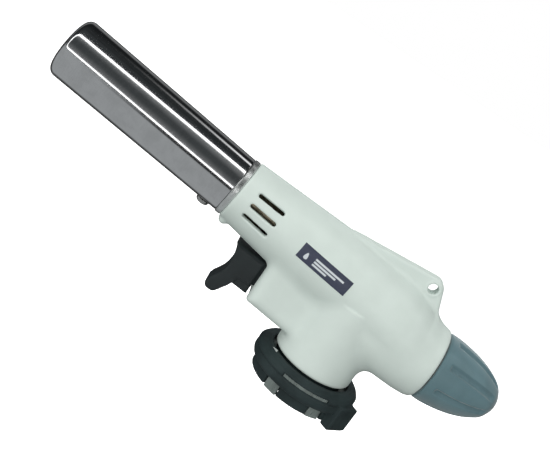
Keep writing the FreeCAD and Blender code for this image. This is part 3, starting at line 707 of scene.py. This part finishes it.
def case_half(side):
    """The field of one half: side is -1 for the label's side, +1 for the screws' side."""
    def field(x, y, z):
        window = box_field(x, y, z, (-35.0, -5.1, 18.0), (-25.8, 5.1, 32.3), 0.4)
        window = np.maximum(window, 18.95 - 0.12 * (x + 25.8) - z)
        shell = trim(case_outside(x, y, z), -hollow(x, y, z), 0.25)
        shell = trim(shell, -slots(x, y, z), 0.35)
        shell = trim(shell, -window, 0.3)
        shell = trim(shell, HOLE_R - np.hypot(x - HOLE_X, z - HOLE_Z), 0.5)
        shell = trim(shell, -screw_holes(x, y, z), 0.2)
        return trim(shell, 0.03 - side * y, 0.30)
    return field


CASE_STEP = 0.46
for name, side in (("left_shell", -1), ("right_shell", 1)):
    low_y, high_y = (-15.4, 0.6) if side < 0 else (-0.6, 15.4)
    shell = net_piece("case_" + name, case_half(side), (-53.6, low_y, 10.9), (32.9, high_y, 60.2),
                      CASE_STEP, CASE_WHITE)
    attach(shell, "torch_body")
    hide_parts(name)

# %% [markdown]
# A grid maker for everything that is turned or wrapped: a function gives x, y, z for two
# parameters, and the grid's rows close on themselves where the shape does.

# %% Surfaces on a grid of two parameters
def grid_faces(rows, columns, round_rows=False, round_columns=False):
    """Four-sided faces of a grid, joined round where asked."""
    i = np.arange(rows if round_rows else rows - 1)
    j = np.arange(columns if round_columns else columns - 1)
    i, j = np.meshgrid(i, j, indexing="ij")
    ni, nj = (i + 1) % rows, (j + 1) % columns
    corners = (i * columns + j, ni * columns + j, ni * columns + nj, i * columns + nj)
    return np.stack(corners, axis=-1).reshape(-1, 4)


def arc_points(centre, radius, start, end, count):
    """Points on an arc in the plane of length and radius, by its angles in degrees."""
    t = np.radians(np.linspace(start, end, count))
    return np.stack([centre[0] + radius * np.cos(t), centre[1] + radius * np.sin(t)], axis=1)


def turned_piece(name, profile, place, material, segments=160, radius_of=None):
    """A closed profile of (length, radius) points carried round a line.

    place turns (length, across, up) into x, y, z. radius_of may change the radius with
    the length and the angle, which is how flutes are made."""
    angle = np.linspace(0, 2 * np.pi, segments, endpoint=False)
    length = np.repeat(profile[:, :1], segments, axis=1)
    radius = np.repeat(profile[:, 1:], segments, axis=1)
    turn_angle = np.broadcast_to(angle, length.shape)
    if radius_of is not None:
        radius = radius_of(length, radius, turn_angle)
    x, y, z = place(length, radius * np.cos(turn_angle), radius * np.sin(turn_angle))
    points = np.stack([x, y, z], axis=-1).reshape(-1, 3)
    faces = grid_faces(len(profile), segments, True, True)
    piece = make_mesh(name, points * MM, faces, material)
    print("%s: %d faces" % (name, len(faces)))
    return piece


def on_knob(length, across_y, up):
    return length, across_y, KNOB_Z + up


# %% [markdown]
# The flame tube is drawn steel, 0.6 mm thick, with its muzzle rolled in. It is a closed
# profile carried round the barrel's line: outside, over the roll, and back inside. The
# steel has one bright finish, outside and inside.

# %% Flame tube
MUZZLE_U, TUBE_END_U = -121.7, -53.84
MUZZLE_R, TUBE_END_R, TUBE_WALL, ROLL_R = 10.6, 10.13, 0.6, 2.6
roll_centre = (MUZZLE_U + ROLL_R, MUZZLE_R - ROLL_R)
near_end = TUBE_END_U - np.array([0.1, 0.2, 0.35])
outside_length = np.append(near_end, np.linspace(TUBE_END_U - 1, MUZZLE_U + ROLL_R, 40))
outside_r = np.interp(outside_length, (MUZZLE_U + ROLL_R, TUBE_END_U), (MUZZLE_R, TUBE_END_R))
tube_profile = np.concatenate([
    [(TUBE_END_U, TUBE_END_R - TUBE_WALL), (TUBE_END_U, TUBE_END_R - 0.15)],
    np.stack([outside_length, outside_r], axis=1),
    arc_points(roll_centre, ROLL_R, 90, 180, 14)[1:],
    arc_points((MUZZLE_U + TUBE_WALL / 2, roll_centre[1]), TUBE_WALL / 2, 180, 360, 7)[1:],
    arc_points(roll_centre, ROLL_R - TUBE_WALL, 180, 90, 10)[1:],
    [(-100.0, MUZZLE_R - TUBE_WALL - 0.15), (-75.0, TUBE_END_R - TUBE_WALL + 0.15)],
])
tube = turned_piece("flame_tube_steel", tube_profile, from_barrel, TUBE_STEEL, 192)
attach(tube, "torch_body")
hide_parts("flame_tube")

# %% [markdown]
# The knob is a bullet-shaped moulding with eight finger flutes. Its radius is the plain
# profile less a groove: the groove's depth falls off across the flute as a rounded bell,
# and along it as a band with soft ends. Inside, it is hollow with a hub for the spindle.

# %% Flame knob
KNOB_FRONT, KNOB_TIP = 32.05, 57.2
FLUTES, FLUTE_DEPTH, FLUTE_HALF = 8, 1.1, 1.25
FLUTE_LOW, FLUTE_HIGH, FLUTE_PHASE = 35.2, 53.7, math.radians(15.5)
bullet_x = [KNOB_FRONT, 35.4, 39.3, 43.3, 47.3, 51.2, 53.2, 55.2, 56.5]
bullet_r = [12.2, 12.2, 11.8, 11.1, 10.0, 8.4, 7.25, 5.5, 3.4]
knob_length = np.concatenate([np.linspace(KNOB_FRONT + 1.0, 55.0, 76), [55.4, 55.8, 56.2, 56.5]])
knob_r = table(knob_length, bullet_x, bullet_r)
nose = [(56.75, 2.75), (56.95, 2.05), (57.1, 1.3), (KNOB_TIP, 0.4), (KNOB_TIP, 0.002)]
skirt = arc_points((KNOB_FRONT + 1.0, 12.2 - 1.0), 1.0, 180, 92, 8)
inside = [(50.5, 0.002), (50.5, 2.55), (47.0, 2.56), (36.4, 2.56), (36.0, 2.9), (36.0, 4.3), (36.3, 4.6),
          (50.3, 4.8), (50.5, 5.6), (48.0, 7.8), (42.0, 9.7), (KNOB_FRONT + 0.3, 10.3), (KNOB_FRONT, 10.6)]


def fluted(length, radius, angle):
    """The radius less the flutes: a bell across each flute, a soft-ended band along it."""
    step = 2 * np.pi / FLUTES
    off = (angle - FLUTE_PHASE + step / 2) % step - step / 2
    away = np.abs(off) * radius
    across_share = np.clip(1 - (away / FLUTE_HALF) ** 2, 0, 1) ** 0.75
    ends_share = np.clip((length - FLUTE_LOW) / 1.0, 0, 1) * np.clip((FLUTE_HIGH - length) / 1.4, 0, 1)
    outer = radius > table(length, bullet_x, bullet_r) - 0.05
    return radius - np.where(outer, FLUTE_DEPTH * across_share * np.sqrt(ends_share), 0.0)


knob_profile = np.concatenate([skirt, np.stack([knob_length, knob_r], axis=1), nose, inside])
knob = turned_piece("knob_moulding", knob_profile, on_knob, KNOB_GREY, 320, fluted)
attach(knob, "knob")
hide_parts("knob")

# %% [markdown]
# The label is a thin plate stuck to the curved side. A grid gives its place: along the
# barrel, and up across it; the depth is found by stepping in from outside until the case's
# field is nought. A second sheet lies under it and a rim joins the two.

# %% Label
LABEL_U, LABEL_V, LABEL_THICK = (-25.9, -6.5), (-1.4, 3.9), 0.22


def case_side(u, v):
    """y of the case's -Y side at (u, v): the nearer half of the span is kept, over and over."""
    x, _, z = from_barrel(u, 0.0, v)
    outer, inner = np.full(u.shape, -18.0), np.full(u.shape, -6.0)
    for _ in range(30):
        half_way = (outer + inner) / 2
        inside_now = case_outside(x, half_way, z) < 0
        inner = np.where(inside_now, half_way, inner)
        outer = np.where(inside_now, outer, half_way)
    return (outer + inner) / 2


def label_piece():
    """Rows go from the glued side's edge over the rim and across the face."""
    columns, rows = 80, 26
    s, t = np.meshgrid(np.linspace(0, 1, rows), np.linspace(0, 1, columns), indexing="ij")
    u = LABEL_U[0] + (LABEL_U[1] - LABEL_U[0]) * t
    v = LABEL_V[0] + (LABEL_V[1] - LABEL_V[0]) * s
    side = case_side(u, v)
    edge = np.minimum(np.minimum(u - LABEL_U[0], LABEL_U[1] - u), np.minimum(v - LABEL_V[0], LABEL_V[1] - v))
    lift = LABEL_THICK * np.sqrt(np.clip(edge / 0.25, 0.0, 1.0)) + 0.02
    front = np.stack(from_barrel(u, side - lift, v), axis=-1).reshape(-1, 3)
    rear = np.stack(from_barrel(u, side + 0.05, v), axis=-1).reshape(-1, 3)
    face = grid_faces(rows, columns)
    count = rows * columns
    ring = np.concatenate([np.arange(columns), np.arange(1, rows) * columns + columns - 1,
                           (rows - 1) * columns + np.arange(columns - 2, -1, -1),
                           np.arange(rows - 2, 0, -1) * columns])
    after = np.roll(ring, -1)
    rim = np.stack([ring, ring + count, after + count, after], axis=1)
    faces = np.concatenate([face[:, ::-1], face + count, rim[:, ::-1]])
    return np.concatenate([front, rear]), faces


def label_finish():
    """Slate blue print with a pale drop and three plain bars, drawn by distance in millimetres."""
    material, nodes, shader, place = finish_nodes("label_print", True)
    axes = nodes.add("ShaderNodeSeparateXYZ")
    nodes.link(place, axes.inputs[0])
    centre_v = BARREL_Z * COS + (LABEL_V[0] + LABEL_V[1]) / 2
    u = nodes.math("SUBTRACT", axes.outputs[0], BARREL_Z * -SIN)
    v = nodes.math("SUBTRACT", axes.outputs[2], centre_v)

    def bar(mid_u, mid_v, half_u, half_v):
        du = nodes.math("SUBTRACT", nodes.math("ABSOLUTE", nodes.math("SUBTRACT", u, mid_u)), half_u)
        dv = nodes.math("SUBTRACT", nodes.math("ABSOLUTE", nodes.math("SUBTRACT", v, mid_v)), half_v)
        return nodes.math("MAXIMUM", du, dv)

    def drop(mid_u, mid_v, radius):
        du = nodes.math("SUBTRACT", u, mid_u)
        dv = nodes.math("SUBTRACT", v, mid_v)
        squeeze = nodes.spread(dv, -radius, 2.4 * radius, 1.0, 4.0, "LINEAR")
        far = nodes.math("POWER", nodes.math("MULTIPLY", du, squeeze), 2.0)
        far = nodes.math("SQRT", nodes.math("ADD", far, nodes.math("POWER", dv, 2.0)))
        return nodes.math("SUBTRACT", far, radius)

    shapes = [drop(-23.2, -0.45, 1.15), bar(-14.6, 0.75, 5.6, 0.32), bar(-15.9, -0.25, 4.3, 0.32),
              bar(-17.4, -1.25, 2.8, 0.32)]
    nearest = shapes[0]
    for shape in shapes[1:]:
        nearest = nodes.math("MINIMUM", nearest, shape)
    ink = nodes.spread(nearest, -0.05, 0.05, 1.0, 0.0)
    ground = nodes.mix(noise(nodes, place, 2.0, 3.0), (0.040, 0.047, 0.085, 1.0), (0.052, 0.060, 0.105, 1.0))
    nodes.link(nodes.mix(ink, ground, (0.66, 0.70, 0.74, 1.0)), shader.inputs["Base Color"])
    grain = noise(nodes, place, 4.0, 2.0)
    nodes.link(nodes.spread(grain, 0.3, 0.7, 0.36, 0.46, "LINEAR"), shader.inputs["Roughness"])
    bump(nodes, shader, grain, 0.3, 0.01)
    return material


label_points, label_faces = label_piece()
label = make_mesh("label_sticker", label_points * MM, label_faces, label_finish())
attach(label, "torch_body")
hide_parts("label_plate")
print("label faces:", len(label_faces))

# %% [markdown]
# The trigger is a flat moulding with a hollowed finger face. Its outline is given a
# thickness by the same fields, with soft edges, and a shallow step runs along the lower
# part of its guide block. A tail goes into the case and pushes the igniter.

# %% Trigger
TRIGGER_OUTLINE = [(-42.95, 33.2), (-42.3, 32.1), (-41.75, 30.4), (-41.3, 28.2), (-41.2, 26.0), (-41.45, 23.8),
                   (-42.15, 21.6), (-43.1, 19.9), (-43.95, 18.4), (-44.5, 16.9), (-44.4, 15.7), (-43.9, 14.8),
                   (-43.1, 14.3), (-41.8, 14.2), (-40.8, 14.3), (-40.0, 15.0), (-39.2, 16.2), (-38.4, 17.5),
                   (-37.5, 18.9), (-36.9, 20.4), (-31.2, 19.9), (-31.2, 31.85)]


def trigger_field(x, y, z):
    """The lever's outline made into a slab, stepped at its lower rear, with the igniter's tail."""
    outline = outline_field(x, z, TRIGGER_OUTLINE)
    lever = slab(outline, y, 4.7, 1.3)
    step = np.maximum(np.maximum(-36.4 - x, z - 23.1), 4.25 - np.abs(y))
    lever = trim(lever, -step, 0.25)
    u, v = to_barrel(x, z)
    tail = box_field(u, y, v, (-34.0, -4.2, -20.8), (-25.5, 4.2, -12.8), 0.4)
    return join(lever, tail, 0.4)


trigger = net_piece("trigger_moulding", trigger_field, (-45.6, -5.6, 13.6), (-26.2, 5.6, 34.4), 0.3,
                    TRIGGER_BLACK)
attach(trigger, "trigger")
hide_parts("trigger")

# %% [markdown]
# The lock ring is turned in section, with a sloping top, a groove round the shoulder and a
# wall below, and it carries a square finger lug. A long window in the wall shows the bright
# edge of the claw plate. The lug's foot is cut back at its corners. Below the wall hangs a
# skirt, left out where the claws come down.

# %% Lock ring
RING_PROFILE = [(14.7, 11.3), (16.3, 11.3), (18.3, 10.45), (19.2, 9.3), (19.2, 8.55), (18.75, 8.3),
                (18.75, 8.05), (19.15, 7.8), (19.2, 6.0), (18.6, 4.85), (17.2, 4.7), (17.2, 9.5), (14.7, 9.5)]
LUG_ANGLE = math.radians(-42.5)
WINDOW_ANGLE, WINDOW_HALF = math.radians(-87.5), math.radians(27.0)
CLAW_ANGLES = [math.radians(a) for a in (-121.0, -61.5, 88.75)]
CLAW_GAP = math.radians(10.5)


def turned_from(x, y, angle):
    """How far a point is turned from an angle, from minus half a turn to plus half a turn."""
    return (np.arctan2(y, x) - angle + np.pi) % (2 * np.pi) - np.pi


def ring_field(x, y, z):
    """The turned ring joined to its lug, less the window, and the skirt between the claws."""
    r = np.hypot(x, y)
    ring = outline_field(r, z, RING_PROFILE)
    out = x * math.cos(LUG_ANGLE) + y * math.sin(LUG_ANGLE)
    along = y * math.cos(LUG_ANGLE) - x * math.sin(LUG_ANGLE)
    upper = box_field(out, along, z, (15.4, -0.55, -0.85), (20.4, 8.45, 8.55), 0.45)
    chamfer = (out - z - 20.4) * math.sqrt(0.5)
    foot = (np.maximum(along - 8.2, -along - 0.6) - z) * math.sqrt(0.5)
    lug = trim(trim(upper, chamfer, 0.3), foot, 0.3)
    lug = np.maximum(lug, np.where(z < 9.5, 16.35 - r, -1.0))
    skirt = trim(np.maximum(14.35 - r, r - 16.85), np.maximum(0.75 - z, z - 5.5), 0.35)
    bridge = np.maximum(np.maximum(16.4 - r, r - 17.6), np.maximum(4.75 - z, z - 5.45))
    skirt = np.minimum(skirt, bridge)
    for angle in CLAW_ANGLES:
        skirt = trim(skirt, (CLAW_GAP - np.abs(turned_from(x, y, angle))) * r, 0.3)
    window = np.maximum((np.abs(turned_from(x, y, WINDOW_ANGLE)) - WINDOW_HALF) * r, np.abs(z - 9.05) - 0.55)
    window = np.maximum(window, 17.0 - r)
    ring = trim(join(ring, lug, 0.6), -window, 0.2)
    return np.minimum(ring, skirt)


lock_ring = net_piece("lock_ring_moulding", ring_field, (-20.2, -20.2, -1.7), (21.6, 20.2, 12.1), 0.34, BLACK)
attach(lock_ring, "lock_ring")
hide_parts("lock_ring")
